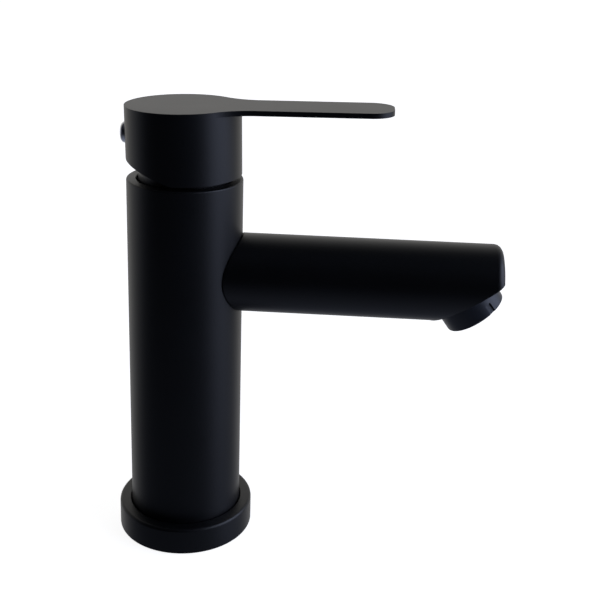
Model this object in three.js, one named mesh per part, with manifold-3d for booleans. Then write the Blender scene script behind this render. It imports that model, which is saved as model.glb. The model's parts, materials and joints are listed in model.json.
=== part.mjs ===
// Single-lever basin mixer: a tube body on a round base ring, a straight spout with a tilted
// outlet, and a flat lever on a cylindrical cap over a ceramic-disc cartridge.
// Millimetres, +Z up. The origin is the centre of the base on the deck, and the spout points to +X.

import * as THREE from "three";
import { mergeVertices } from "three/addons/utils/BufferGeometryUtils.js";
import Module from "manifold-3d";

const wasm = await Module();
wasm.setup();

// Driving sizes

const bodyHeight = 149.5; // deck to the top rim of the body tube
const bodyRadius = 22.5;
const bodyWall = 3.8;
const ringOverhang = 5; // the base ring stands out this far from the body
const ringHeight = 11;
const ringLedge = 3; // thickness of the inner step that the body tube stands on
const gasketHeight = 1.2;
const gasketGrooveWall = 2; // ring metal left on each side of the gasket groove
const edgeBreak = 0.5; // small chamfer on turned edges

const spoutReach = 123.9; // body axis to the end of the spout
const spoutRadius = 15.5;
const spoutWall = 2.7;
const spoutDrop = 37.5; // body rim down to the spout axis
const spoutEndRound = 3.2;
const spoutEndSteps = 5; // flat rings that stand for that round
const spoutBoss = 11; // length of the solid start that the nipple screws into
const outletTilt = THREE.MathUtils.degToRad(36); // the outlet face, measured from level
const outletLength = 2.15 * spoutRadius; // length of the outlet face along its slope

const aeratorInset = 3; // the aerator is this much smaller than the spout
const aeratorDrop = 8; // how far the aerator stands out of the outlet face
const aeratorShoulder = 1.3; // its rim stands out this far from its thread
const aeratorThread = 6.5; // length of the thread inside the spout
const aeratorWall = 1.7;
const aeratorLedge = 0.9; // holds the straightener in
const aeratorRimBreak = 0.6;
const notchWidth = 2.6; // key notches in the rim, on opposite sides
const notchDepth = 1.6;
const notchHeight = 4;
const notchTurn = THREE.MathUtils.degToRad(-57);
const insertRise = 2.2; // the straightener sits this far up from the rim
const insertHeight = 4;
const screenHeight = 0.8;
const washerHeight = 2;

const capInset = 0.3; // the cap is this much smaller than the body
const capHeight = 27;
const capWall = 2.6;
const capRoof = 3;
const capGap = 1.5; // between the body rim and the cap
const capCutStart = 1.5; // the rear relief starts this far behind the axis
const capCutTilt = THREE.MathUtils.degToRad(18.5);
const leverReach = 79.7; // body axis to the tip of the lever
const leverHalfWidth = 11.5;
const leverThickness = 2;
const leverBlend = 22; // radius of the curve from the cap into the lever
const leverTipRound = 9;
const restLean = THREE.MathUtils.degToRad(1); // the closed handle leans back by this much

const pivotDrop = 9.5; // body rim down to the lift pivot
const bossWall = 4.5; // metal around the stem socket inside the cap
const bossRise = 11; // cap bottom to the lower end of that boss
const indexDrop = 11.4; // cap top down to the grub screw and index button
const screwRadius = 2.5;
const screwLength = 7.5;
const screwHex = 1.45;
const screwHexDepth = 2.6;
const buttonRadius = 4.2;
const buttonSpigot = 3;
const buttonProud = 2.2;

const stemWidth = 8;
const stemTop = 31.7; // above the pivot
const stemArm = 8.5; // pivot down to the middle of the ball that drives the disc
const ballRadius = 2.6;
const bladeWidth = 7;
const pinRadius = 1.5;

const cartridgeMargin = 1.2; // between the body bore and the cartridge
const cartridgeBaseHeight = 4;
const fixedDiscHeight = 2.6;
const movingDiscHeight = 2.2;
const rotorRise = 6.2; // pivot up to the top of the rotor
const housingWall = 3.2; // cartridge housing around the fixed disc
const neckStep = 4.2; // cartridge radius down to its neck
const neckWall = 1.5;
const bonnetMargin = 0.8; // between the body bore and the bonnet
const bonnetWall = 1.2;
const bonnetRise = 3; // straight wall of the bonnet above the body rim
const bonnetCone = 3; // height of its sloping top
const bonnetRim = 5.9; // width of that top, as far as the opening around the stem
const nutDepth = 12; // how far the retaining nut reaches into the body

const inletMargin = 13.7; // rear of the bore to the hose ports and inlet pipes
const inletY = 8; // they lie this far to each side of the centre plane
const hosePortRadius = 4.6; // M10 thread
const hosePortDepth = 9;
const studX = 10;
const studHoleRadius = 3.4; // M8 thread
const studDepth = 11;
const pipeRadius = 4;
const pipeBore = 3;
const pipeSealRadius = 5.6; // pocket for the seal around a pipe
const plugHeight = 16;
const socketDepth = 5;
const seatHeight = 19;
const sealGroove = 1.8; // depth and width of an O-ring groove
const pegRadius = 1.4; // the pegs that stop the cartridge turning
const pegLength = 2.4;
const pegX = 7;
const pegY = 9.5;
const sealPocket = 1.4; // how deep a port seal sits in the cartridge base
const sealPocketRim = 1.8;
const portX = -4.5; // cartridge inlets
const portY = 5.5;
const portRadius = 2.4;
const outletX = 6;
const outletRadius = 3.2;
const nippleRadius = 5.5;
const nippleBore = 4.2;
const nippleDrop = 2; // the nipple sits below the spout axis
const gasketRim = 3.4; // the spout gasket is this much wider than the nipple
const gasketThick = 1.2;
const gasketSeat = 1.3; // body wall to the spout gasket

const fitGap = 0.3; // clearance between fixed pieces, and under seals
const pinGap = 0.2; // radial clearance on pipes and on the lift pin
const sealGap = 0.15; // between an O-ring and its groove

// How many flat sides stand for a full circle.
const bodySides = 40;
const cartridgeSides = 28;
const holeSides = 20;
const smallSides = 12;
const ringSectionSides = 6;
const meshHoleSides = 6; // holes in the aerator's straightener and screen
const ballRings = 8;
const planSegments = 14; // of each curve in the lever's plan

// Levels worked out from them

const bodyBore = bodyRadius - bodyWall;
const ringRadius = bodyRadius + ringOverhang;
const gasketGrooveIn = bodyBore + gasketGrooveWall;
const gasketGrooveOut = ringRadius - gasketGrooveWall;
const inletX = inletMargin - bodyBore;
const capRadius = bodyRadius - capInset;
const aeratorRadius = spoutRadius - aeratorInset;
const aeratorThreadRadius = aeratorRadius - aeratorShoulder;
const aeratorBore = aeratorThreadRadius - aeratorWall;
const aeratorLip = aeratorBore - aeratorLedge;
const cartridgeRadius = bodyBore - cartridgeMargin;
const fixedDiscRadius = cartridgeRadius - housingWall - fitGap;
const neckRadius = cartridgeRadius - neckStep;
const rotorRadius = neckRadius - neckWall - fitGap;
const discRadius = rotorRadius - 0.7; // the moving disc and its carrier
const bonnetRadius = bodyBore - bonnetMargin;
const bonnetMouth = bonnetRadius - bonnetRim;
const spoutZ = bodyHeight - spoutDrop;
const pivotZ = bodyHeight - pivotDrop;
const capBottom = pivotDrop + capGap; // above the pivot
const capTop = capBottom + capHeight;
const indexZ = capTop - indexDrop; // grub screw and index button, above the pivot
const nippleZ = spoutZ - nippleDrop;

const rotorTop = pivotZ + rotorRise;
const rotorFlangeTop = pivotZ - 4.8;
const rotorBottom = pivotZ - 6.5;
const carrierTop = rotorBottom - fitGap;
const carrierBottom = pivotZ - stemArm - ballRadius - 1.1;
const movingDiscTop = carrierBottom - pinGap;
const movingDiscBottom = movingDiscTop - movingDiscHeight;
const fixedDiscTop = movingDiscBottom - pinGap;
const fixedDiscBottom = fixedDiscTop - fixedDiscHeight;
const baseTop = fixedDiscBottom - pinGap;
const baseBottom = baseTop - cartridgeBaseHeight;
const sealTop = baseBottom + 1.1;
const seatTop = baseBottom - 0.6;
const seatBottom = seatTop - seatHeight;
const nutBottom = bodyHeight - nutDepth;
const nutStep = bodyHeight - 5;
const nutTop = bodyHeight + 1;
const shoulderTop = nutBottom - fitGap;
const ballX = stemArm * Math.sin(restLean); // the leaning stem carries its ball forward
const seatGrooveZ = seatBottom + 3;
const seatGrooveRadius = bodyBore - sealGroove;

// Materials

function finish(color, roughness, metalness) {
  return new THREE.MeshStandardMaterial({ color, roughness, metalness });
}

const blackCoat = finish(0x15161a, 0.42, 0.3);
const brass = finish(0xb08d4a, 0.35, 1);
const steel = finish(0xa9abad, 0.3, 1);
const rubber = finish(0x161616, 0.8, 0);
const darkPlastic = finish(0x191b1e, 0.3, 0);
const whitePlastic = finish(0xdcdcd6, 0.5, 0);
const bluePlastic = finish(0x2b5f9e, 0.45, 0);
const ceramic = finish(0xe9e4da, 0.2, 0);
const chrome = finish(0xc8cacc, 0.12, 1);
const indexPlastic = finish(0x2c3a8c, 0.15, 0);

// Shape helpers

// A closed three.js geometry as a solid, without the flat triangles left at a pole.
function solidOf(geometry) {
  const bare = geometry.index ? geometry.toNonIndexed() : geometry.clone();
  bare.deleteAttribute("normal");
  bare.deleteAttribute("uv");
  const merged = mergeVertices(bare, 1e-4);
  const kept = [];
  for (let i = 0; i < merged.index.count; i += 3) {
    const [a, b, c] = merged.index.array.subarray(i, i + 3);
    if (a !== b && b !== c && c !== a) kept.push(a, b, c);
  }
  return new wasm.Manifold(
    new wasm.Mesh({
      numProp: 3,
      vertProperties: merged.attributes.position.array,
      triVerts: new Uint32Array(kept),
    }),
  );
}

function join(first, ...others) {
  return others.reduce((made, other) => made.add(other), first);
}

function cut(first, ...others) {
  return others.reduce((made, other) => made.subtract(other), first);
}

// A ring or disc turned about +Z. The profile is [radius, z] points, anticlockwise, and is
// closed on itself unless it starts and ends on the axis.
function turned(profile, sides = cartridgeSides) {
  const points = profile.map(([radius, z]) => new THREE.Vector2(radius, z));
  const onAxis = profile[0][0] === 0 && profile[profile.length - 1][0] === 0;
  if (!onAxis) points.push(points[0].clone());
  return new THREE.LatheGeometry(points, sides).rotateX(Math.PI / 2);
}

function tube(inner, outer, bottom, top, sides = cartridgeSides) {
  return turned(
    [
      [inner, bottom],
      [outer, bottom],
      [outer, top],
      [inner, top],
    ],
    sides,
  );
}

function oRing(middle, radius, z, sides = cartridgeSides) {
  return new THREE.TorusGeometry(middle, radius, ringSectionSides, sides).translate(0, 0, z);
}

// A round bar along +Z from bottom to top.
function rod(radius, bottom, top, x = 0, y = 0, sides = holeSides) {
  return new THREE.CylinderGeometry(radius, radius, top - bottom, sides)
    .rotateX(Math.PI / 2)
    .translate(x, y, (bottom + top) / 2);
}

// A round bar along +X from one x to another.
function rodX(radius, from, to, z, sides = holeSides) {
  return new THREE.CylinderGeometry(radius, radius, to - from, sides)
    .rotateZ(Math.PI / 2)
    .translate((from + to) / 2, 0, z);
}

function block(x0, x1, y0, y1, z0, z1) {
  return new THREE.BoxGeometry(x1 - x0, y1 - y0, z1 - z0).translate(
    (x0 + x1) / 2,
    (y0 + y1) / 2,
    (z0 + z1) / 2,
  );
}

function named(name, solid, material) {
  const made = solid.isBufferGeometry ? solidOf(solid) : solid;
  const { vertProperties, triVerts } = made.getMesh();
  const geometry = new THREE.BufferGeometry();
  geometry.setAttribute("position", new THREE.BufferAttribute(vertProperties, 3));
  geometry.setIndex(new THREE.BufferAttribute(triVerts, 1));
  const mesh = new THREE.Mesh(geometry, material);
  mesh.name = name;
  return mesh;
}

// Body and base

function bodyTube() {
  const bottom = ringLedge + fitGap;
  const shell = turned(
    [
      [bodyBore, bottom],
      [bodyRadius, bottom],
      [bodyRadius, bodyHeight - edgeBreak],
      [bodyRadius - edgeBreak, bodyHeight],
      [bodyBore + edgeBreak, bodyHeight],
      [bodyBore, bodyHeight - edgeBreak],
    ],
    bodySides,
  );
  const nippleHole = rodX(nippleRadius + fitGap, bodyBore / 2, bodyRadius + 1, nippleZ);
  return named("body_tube", cut(solidOf(shell), solidOf(nippleHole)), blackCoat);
}

function baseRing() {
  const bore = bodyBore + fitGap;
  const grooveTop = gasketHeight + fitGap;
  const ring = turned(
    [
      [bore, 0],
      [gasketGrooveIn, 0],
      [gasketGrooveIn, grooveTop],
      [gasketGrooveOut, grooveTop],
      [gasketGrooveOut, 0],
      [ringRadius, 0],
      [ringRadius, ringHeight - 2 * edgeBreak],
      [ringRadius - 2 * edgeBreak, ringHeight],
      [bodyRadius + fitGap, ringHeight],
      [bodyRadius + fitGap, ringLedge],
      [bore, ringLedge],
    ],
    bodySides,
  );
  return named("base_ring", ring, blackCoat);
}

function baseGasket() {
  const inner = gasketGrooveIn + fitGap;
  const outer = gasketGrooveOut - fitGap;
  return named("base_gasket", tube(inner, outer, 0, gasketHeight, bodySides), rubber);
}

// The brass bottom plug, with the two hose ports, their pipe sockets and the stud hole.
function basePlug() {
  const plug = solidOf(rod(bodyBore - fitGap, 0, plugHeight, 0, 0, bodySides));
  const holes = [solidOf(rod(studHoleRadius, -1, studDepth, studX, 0))];
  for (const y of [-inletY, inletY]) {
    holes.push(
      solidOf(rod(hosePortRadius, -1, hosePortDepth, inletX, y)),
      solidOf(rod(portRadius, hosePortDepth - 1, plugHeight, inletX, y)),
      solidOf(rod(pipeRadius + pinGap, plugHeight - socketDepth, plugHeight + 1, inletX, y)),
      solidOf(rod(pipeSealRadius, plugHeight - sealGroove, plugHeight + 1, inletX, y)),
    );
  }
  return named("base_plug", cut(plug, ...holes), brass);
}

function inletPipe(name, y) {
  const bottom = plugHeight - socketDepth + fitGap;
  const top = seatBottom + socketDepth - fitGap;
  const pipe = tube(pipeBore, pipeRadius, bottom, top, smallSides).translate(inletX, y, 0);
  return named(name, pipe, steel);
}

function pipeSeal(name, y, z) {
  const middle = (pipeRadius + pipeSealRadius) / 2;
  const section = (pipeSealRadius - pipeRadius) / 2 - sealGap;
  const ring = oRing(middle, section, z, smallSides).translate(inletX, y, 0);
  return named(name, ring, rubber);
}

// Valve seat and spout

// The brass block inside the body that takes water up to the cartridge and out to the spout.
function cartridgeSeat() {
  const radius = bodyBore - fitGap;
  const half = sealGroove / 2;
  const seat = turned(
    [
      [0, seatBottom],
      [radius, seatBottom],
      [radius, seatGrooveZ - half],
      [seatGrooveRadius, seatGrooveZ - half],
      [seatGrooveRadius, seatGrooveZ + half],
      [radius, seatGrooveZ + half],
      [radius, seatTop],
      [0, seatTop],
    ],
    bodySides,
  );
  const holes = [
    solidOf(rod(outletRadius, nippleZ, seatTop + 1, outletX, 0)),
    solidOf(rodX(nippleRadius + fitGap, outletX + 2, bodyBore + 1, nippleZ)),
    solidOf(rodX(nippleBore, outletX - outletRadius, outletX + 3, nippleZ)),
  ];
  for (const side of [-1, 1]) {
    const y = side * inletY;
    holes.push(
      solidOf(rod(pipeRadius + pinGap, seatBottom - 1, seatBottom + socketDepth, inletX, y)),
      solidOf(rod(pipeSealRadius, seatBottom - 1, seatBottom + sealGroove, inletX, y)),
      solidOf(rod(portRadius, seatBottom + socketDepth - 1, seatTop + 1, portX, side * portY)),
      solidOf(rod(pegRadius + fitGap, seatTop - pegLength, seatTop + 1, pegX, side * pegY, smallSides)),
    );
  }
  return named("cartridge_seat", cut(solidOf(seat), ...holes), brass);
}

function seatSeal() {
  const middle = (seatGrooveRadius + bodyBore) / 2;
  const radius = (bodyBore - seatGrooveRadius) / 2 - sealGap;
  return named("seat_o_ring", oRing(middle, radius, seatGrooveZ, bodySides), rubber);
}

function spoutNipple() {
  const from = outletX + 2 + fitGap;
  const to = bodyRadius + spoutBoss - 1;
  const tubeAlongX = cut(
    solidOf(rodX(nippleRadius, from, to, nippleZ)),
    solidOf(rodX(nippleBore, from - 1, to + 1, nippleZ)),
  );
  return named("spout_nipple", tubeAlongX, brass);
}

function spoutGasket() {
  const from = bodyRadius + gasketSeat;
  const to = from + gasketThick;
  const washer = cut(
    solidOf(rodX(nippleRadius + gasketRim, from, to, nippleZ)),
    solidOf(rodX(nippleRadius + fitGap, from - 1, to + 1, nippleZ)),
  );
  return named("spout_gasket", washer, rubber);
}

// The outlet face: its lowest point on the underside of the spout, its middle, and the
// frame whose local +Z runs up into the spout, square to the face.
const outletLow = new THREE.Vector3(
  spoutReach - outletLength * Math.cos(outletTilt),
  0,
  spoutZ - spoutRadius,
);
const outletMiddle = outletLow
  .clone()
  .add(
    new THREE.Vector3(Math.cos(outletTilt), 0, Math.sin(outletTilt)).multiplyScalar(
      outletLength / 2,
    ),
  );

function toOutlet(geometry) {
  return geometry.rotateY(-outletTilt).translate(outletMiddle.x, 0, outletMiddle.z);
}

function spoutTube() {
  const outline = [
    [0, 0],
    [spoutRadius, 0],
  ];
  for (let i = 0; i <= spoutEndSteps; i++) {
    const turn = (i / spoutEndSteps) * (Math.PI / 2);
    outline.push([
      spoutRadius - spoutEndRound * (1 - Math.cos(turn)),
      spoutReach - spoutEndRound * (1 - Math.sin(turn)),
    ]);
  }
  outline.push([0, spoutReach]);
  const bar = solidOf(turned(outline, bodySides).rotateY(Math.PI / 2).translate(0, 0, spoutZ));
  const span = 3 * spoutRadius;
  const saddle = rod(bodyRadius + fitGap, spoutZ - span, spoutZ + span, 0, 0, bodySides);
  const bore = rodX(
    spoutRadius - spoutWall,
    bodyRadius + spoutBoss,
    outletLow.x,
    spoutZ,
    cartridgeSides,
  );
  const nippleHole = rodX(nippleRadius + fitGap, 0, bodyRadius + spoutBoss + 1, nippleZ);
  const pocketEnd = bodyRadius + gasketSeat + gasketThick + fitGap;
  const gasketPocket = rodX(nippleRadius + gasketRim + fitGap, 0, pocketEnd, nippleZ);
  const below = toOutlet(block(-span, span, -span, span, -2 * span, 0));
  const socketEnd = aeratorThread + washerHeight + 2 * fitGap;
  const thread = toOutlet(rod(aeratorThreadRadius + fitGap, -1, socketEnd, 0, 0, cartridgeSides));
  const throat = toOutlet(rod(aeratorLip, socketEnd - 0.6, socketEnd + 6.9));
  return named(
    "spout_tube",
    cut(
      bar,
      ...[saddle, bore, nippleHole, gasketPocket, below, thread, throat].map(solidOf),
    ),
    blackCoat,
  );
}

// Aerator

const insertLow = insertRise - aeratorDrop;
const insertHigh = insertLow + insertHeight;

function aeratorHousing() {
  const low = -aeratorDrop;
  const shell = turned(
    [
      [aeratorLip, low],
      [aeratorRadius - aeratorRimBreak, low],
      [aeratorRadius, low + aeratorRimBreak],
      [aeratorRadius, -fitGap],
      [aeratorThreadRadius, -fitGap],
      [aeratorThreadRadius, aeratorThread],
      [aeratorBore, aeratorThread],
      [aeratorBore, insertLow - fitGap],
      [aeratorLip, insertLow - fitGap],
    ],
    cartridgeSides,
  );
  const half = notchWidth / 2;
  const from = aeratorRadius - notchDepth;
  const notches = [notchTurn, notchTurn + Math.PI].map((turn) =>
    solidOf(block(from, aeratorRadius + 1, -half, half, low - 1, low + notchHeight).rotateZ(turn)),
  );
  const made = cut(solidOf(shell), ...notches);
  return placeAtOutlet(named("aerator_housing", made, darkPlastic));
}

function placeAtOutlet(mesh) {
  mesh.position.copy(outletMiddle);
  mesh.rotation.y = -outletTilt;
  return mesh;
}

// A disc with one hole in the middle and a ring of holes around it.
function piercedDisc(radius, bottom, top, holeRadius, ringOfHoles) {
  const disc = solidOf(rod(radius, bottom, top, 0, 0, cartridgeSides));
  const holes = [solidOf(rod(holeRadius, bottom - 1, top + 1, 0, 0, meshHoleSides))];
  const count = 6;
  for (let i = 0; i < count; i++) {
    const turn = (i / count) * 2 * Math.PI;
    const x = ringOfHoles * Math.cos(turn);
    const y = ringOfHoles * Math.sin(turn);
    holes.push(solidOf(rod(holeRadius, bottom - 1, top + 1, x, y, meshHoleSides)));
  }
  return cut(disc, ...holes);
}

function aeratorInsert() {
  const radius = aeratorBore - fitGap;
  const made = piercedDisc(radius, insertLow, insertHigh, radius / 4.2, radius * 0.62);
  return placeAtOutlet(named("aerator_insert", made, darkPlastic));
}

function aeratorScreen() {
  const radius = aeratorBore - fitGap;
  const low = insertHigh + pinGap;
  const made = piercedDisc(radius, low, low + screenHeight, radius / 5, radius * 0.62);
  return placeAtOutlet(named("aerator_screen", made, steel));
}

function aeratorWasher() {
  const low = aeratorThread + fitGap;
  const ring = tube(aeratorLip, aeratorThreadRadius, low, low + washerHeight);
  return placeAtOutlet(named("aerator_washer", ring, rubber));
}

// Cartridge

function portHoles(bottom, top) {
  return [
    rod(portRadius, bottom, top, portX, -portY, smallSides),
    rod(portRadius, bottom, top, portX, portY, smallSides),
    rod(outletRadius, bottom, top, outletX, 0, smallSides),
  ].map(solidOf);
}

function cartridgeBase() {
  const disc = solidOf(rod(cartridgeRadius, baseBottom, baseTop, 0, 0, cartridgeSides));
  const pegs = [-1, 1].map((side) =>
    solidOf(rod(pegRadius, seatTop - pegLength + fitGap, baseBottom + 1, pegX, side * pegY, smallSides)),
  );
  const pocketTop = baseBottom + sealPocket;
  const pockets = [
    rod(portRadius + sealPocketRim, baseBottom - 1, pocketTop, portX, -portY, smallSides),
    rod(portRadius + sealPocketRim, baseBottom - 1, pocketTop, portX, portY, smallSides),
    rod(outletRadius + sealPocketRim, baseBottom - 1, pocketTop, outletX, 0, smallSides),
  ].map(solidOf);
  const made = cut(join(disc, ...pegs), ...pockets, ...portHoles(baseBottom - 1, baseTop + 1));
  return named("cartridge_base", made, bluePlastic);
}

function portSeal(name, x, y, bore) {
  const low = seatTop + pinGap;
  const outer = bore + sealPocketRim - fitGap;
  const ring = tube(bore + 0.1, outer, low, sealTop, smallSides).translate(x, y, 0);
  return named(name, ring, rubber);
}

function fixedDisc() {
  const disc = solidOf(rod(fixedDiscRadius, fixedDiscBottom, fixedDiscTop, 0, 0, cartridgeSides));
  const made = cut(disc, ...portHoles(fixedDiscBottom - 1, fixedDiscTop + 1));
  return named("fixed_disc", made, ceramic);
}

// The underside of the moving disc has the chamber that joins the ports when it slides.
function movingDisc() {
  const disc = solidOf(rod(discRadius, movingDiscBottom, movingDiscTop, 0, 0, cartridgeSides));
  const radius = 0.52 * discRadius;
  const middle = 0.37 * discRadius;
  const top = (movingDiscBottom + movingDiscTop) / 2;
  const chamber = solidOf(rod(radius, movingDiscBottom - 1, top, middle, 0));
  return named("moving_disc", cut(disc, chamber), ceramic);
}

function discCarrier() {
  const disc = solidOf(rod(discRadius, carrierBottom, carrierTop, 0, 0, cartridgeSides));
  const floor = carrierBottom + 0.8;
  const pocket = solidOf(rod(ballRadius + fitGap, floor, carrierTop + 1, ballX, 0));
  return named("disc_carrier", cut(disc, pocket), whitePlastic);
}

function cartridgeHousing() {
  const cavity = fixedDiscRadius + fitGap;
  const ledge = rotorFlangeTop + fitGap;
  const bottom = baseTop + fitGap;
  const bore = rotorRadius + fitGap;
  const top = rotorTop + 0.7;
  const shell = turned([
    [cavity, bottom],
    [cartridgeRadius, bottom],
    [cartridgeRadius, shoulderTop],
    [neckRadius, shoulderTop],
    [neckRadius, top],
    [bore, top],
    [bore, ledge],
    [cavity, ledge],
  ]);
  return named("cartridge_housing", shell, whitePlastic);
}

// The rotor turns with the handle. Its slot lets the stem swing on the lift pin.
function stemRotor() {
  const flange = fixedDiscRadius - 0.2;
  const barrel = solidOf(
    turned([
      [0, rotorBottom],
      [flange, rotorBottom],
      [flange, rotorFlangeTop],
      [rotorRadius, rotorFlangeTop],
      [rotorRadius, rotorTop],
      [0, rotorTop],
    ]),
  );
  const halfSlot = bladeWidth / 2 + 0.4;
  const reach = 0.59 * rotorRadius;
  const slot = block(-reach, reach, -halfSlot, halfSlot, rotorBottom - 1, rotorTop + 1);
  const pinHole = liftRod(pinRadius + pinGap, rotorRadius + 1);
  return named("stem_rotor", cut(barrel, solidOf(slot), solidOf(pinHole)), bluePlastic);
}

// A round bar along Y through the lift pivot.
function liftRod(radius, halfLength) {
  return new THREE.CylinderGeometry(radius, radius, 2 * halfLength, smallSides).translate(0, 0, pivotZ);
}

function stemPin() {
  return named("stem_pin", liftRod(pinRadius, rotorRadius - 1), steel);
}

function retainingNut() {
  const threads = bodyBore - fitGap;
  const bore = neckRadius + fitGap;
  const neck = bonnetRadius - bonnetWall - 0.4;
  const grooveZ = (nutStep + nutTop) / 2 - 0.3;
  const groove = neck - 1.1;
  const nut = turned([
    [bore, nutBottom],
    [threads, nutBottom],
    [threads, nutStep],
    [neck, nutStep],
    [neck, grooveZ - sealGroove / 2],
    [groove, grooveZ - sealGroove / 2],
    [groove, grooveZ + sealGroove / 2],
    [neck, grooveZ + sealGroove / 2],
    [neck, nutTop],
    [bore, nutTop],
  ]);
  const seal = bonnetRadius - bonnetWall;
  const ring = oRing((groove + seal) / 2, (seal - groove) / 2 - sealGap, grooveZ);
  return [
    named("retaining_nut", nut, brass),
    named("bonnet_o_ring", ring, rubber),
  ];
}

// The thin cover around the neck, seen in the gap under the cap.
function bonnet() {
  const straightTop = bodyHeight + bonnetRise;
  const top = straightTop + bonnetCone;
  const inner = bonnetRadius - bonnetWall;
  const cover = turned([
    [inner, nutStep + fitGap],
    [bonnetRadius, nutStep + fitGap],
    [bonnetRadius, straightTop],
    [bonnetMouth + 1, top],
    [bonnetMouth, top],
    [bonnetMouth, top - bonnetWall],
    [bonnetMouth + 0.8, top - bonnetWall],
    [inner, straightTop - 0.6],
  ]);
  return named("bonnet", cover, blackCoat);
}

// Handle, in the frame of the lift pivot

function stem() {
  const half = stemWidth / 2;
  const blade = bladeWidth / 2;
  const made = join(
    ...[
      block(-half, half, -half, half, 9, stemTop),
      block(-blade, blade, -blade, blade, -5, 10),
      rod(2, -stemArm, -4, 0, 0, smallSides),
      new THREE.SphereGeometry(ballRadius, smallSides, ballRings)
        .rotateX(Math.PI / 2)
        .translate(0, 0, -stemArm),
    ].map(solidOf),
  );
  const pinHole = new THREE.CylinderGeometry(pinRadius + pinGap, pinRadius + pinGap, 12, smallSides);
  return named("stem", cut(made, solidOf(pinHole)), steel);
}

// The plan of the cap and lever: a circle that blends into a straight strip with a rounded tip.
function leverPlan() {
  const around = capRadius + leverBlend;
  const across = leverHalfWidth + leverBlend;
  const blendX = Math.sqrt(around * around - across * across);
  const meet = Math.atan2(across, blendX);
  const tipX = leverReach - leverTipRound;
  const tipY = leverHalfWidth - leverTipRound;
  const plan = new THREE.Shape();
  plan.absarc(0, 0, capRadius, meet, 2 * Math.PI - meet, false);
  plan.absarc(blendX, -across, leverBlend, Math.PI - meet, Math.PI / 2, true);
  plan.absarc(tipX, -tipY, leverTipRound, -Math.PI / 2, 0, false);
  plan.absarc(tipX, tipY, leverTipRound, 0, Math.PI / 2, false);
  plan.absarc(blendX, across, leverBlend, -Math.PI / 2, meet - Math.PI, true);
  return plan;
}

function leverHandle() {
  const inner = capRadius - capWall;
  const roof = capTop - capRoof;
  const cap = turned(
    [
      [inner, capBottom],
      [capRadius, capBottom],
      [capRadius, capTop - leverThickness / 2],
      [0, capTop - leverThickness / 2],
      [0, roof],
      [inner, roof],
    ],
    bodySides,
  );
  const plate = new THREE.ExtrudeGeometry(leverPlan(), {
    depth: leverThickness,
    bevelEnabled: false,
    curveSegments: planSegments,
  }).translate(0, 0, capTop - leverThickness);
  const bossRadius = stemWidth / 2 + bossWall;
  const bossBottom = capBottom + bossRise;
  const boss = rod(bossRadius, bossBottom, roof + 1);
  const socket = stemWidth / 2 + pinGap;
  const stemSocket = block(-socket, socket, -socket, socket, bossBottom - 1, stemTop + fitGap);
  const screwHole = rodX(screwRadius + pinGap, -capRadius - 1, -socket + 1, indexZ, smallSides);
  const accessHole = rodX(buttonSpigot + pinGap, -capRadius - 1, -inner + 2, indexZ, smallSides);
  const buttonFlat = rodX(buttonRadius + fitGap, -capRadius - 1, -capRadius + 0.7, indexZ);
  const wide = 3 * capRadius;
  const relief = block(-wide, 0, -wide, wide, -wide, 0)
    .rotateY(capCutTilt)
    .translate(-capCutStart, 0, capBottom);
  const made = cut(
    join(...[cap, plate, boss].map(solidOf)),
    ...[stemSocket, screwHole, accessHole, buttonFlat, relief].map(solidOf),
  );
  return named("lever_handle", made, blackCoat);
}

function grubScrew() {
  const tip = -stemWidth / 2 - fitGap;
  const head = tip - screwLength;
  const hexSocket = rodX(screwHex, head - 1, head + screwHexDepth, indexZ, 6);
  const made = cut(solidOf(rodX(screwRadius, head, tip, indexZ, smallSides)), solidOf(hexSocket));
  return named("grub_screw", made, steel);
}

// The index button closes the screw hole at the rear: a domed rim with a coloured disc in it.
function indexButton() {
  const seat = capRadius - 0.4;
  const front = capRadius + buttonProud;
  const rim = turned(
    [
      [0, capRadius - capWall - 0.2],
      [buttonSpigot, capRadius - capWall - 0.2],
      [buttonSpigot, seat],
      [buttonRadius, seat],
      [buttonRadius, front - 1.4],
      [buttonRadius - 0.35, front - 0.7],
      [buttonRadius - 1, front - 0.4],
      [buttonRadius - 1.1, front - 1],
      [0, front - 1],
    ],
    holeSides,
  );
  const disc = turned(
    [
      [0, front - 1 + pinGap],
      [buttonRadius - 1.35, front - 1 + pinGap],
      [buttonRadius - 1.35, front - 0.4],
      [buttonRadius - 2.4, front - 0.1],
      [0, front],
    ],
    holeSides,
  );
  const place = (geometry) => geometry.rotateY(-Math.PI / 2).translate(0, 0, indexZ);
  return [
    named("index_button", place(rim), chrome),
    named("index_insert", place(disc), indexPlastic),
  ];
}

// Assembly

const faucet = new THREE.Group();
faucet.add(
  bodyTube(),
  baseRing(),
  baseGasket(),
  basePlug(),
  inletPipe("hot_inlet_pipe", -inletY),
  inletPipe("cold_inlet_pipe", inletY),
  pipeSeal("hot_pipe_seal_lower", -inletY, plugHeight - sealGroove / 2),
  pipeSeal("cold_pipe_seal_lower", inletY, plugHeight - sealGroove / 2),
  pipeSeal("hot_pipe_seal_upper", -inletY, seatBottom + sealGroove / 2),
  pipeSeal("cold_pipe_seal_upper", inletY, seatBottom + sealGroove / 2),
  cartridgeSeat(),
  seatSeal(),
  spoutTube(),
  spoutNipple(),
  spoutGasket(),
  aeratorHousing(),
  aeratorInsert(),
  aeratorScreen(),
  aeratorWasher(),
);
faucet.add(
  cartridgeBase(),
  portSeal("hot_port_seal", portX, -portY, portRadius),
  portSeal("cold_port_seal", portX, portY, portRadius),
  portSeal("outlet_port_seal", outletX, 0, outletRadius),
  fixedDisc(),
  movingDisc(),
  discCarrier(),
  cartridgeHousing(),
  stemRotor(),
  stemPin(),
  ...retainingNut(),
  bonnet(),
);

const handle = new THREE.Group();
handle.position.z = pivotZ;
handle.rotation.y = -restLean;
handle.add(stem(), leverHandle(), grubScrew(), ...indexButton());
faucet.add(handle);

export default faucet;
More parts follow.
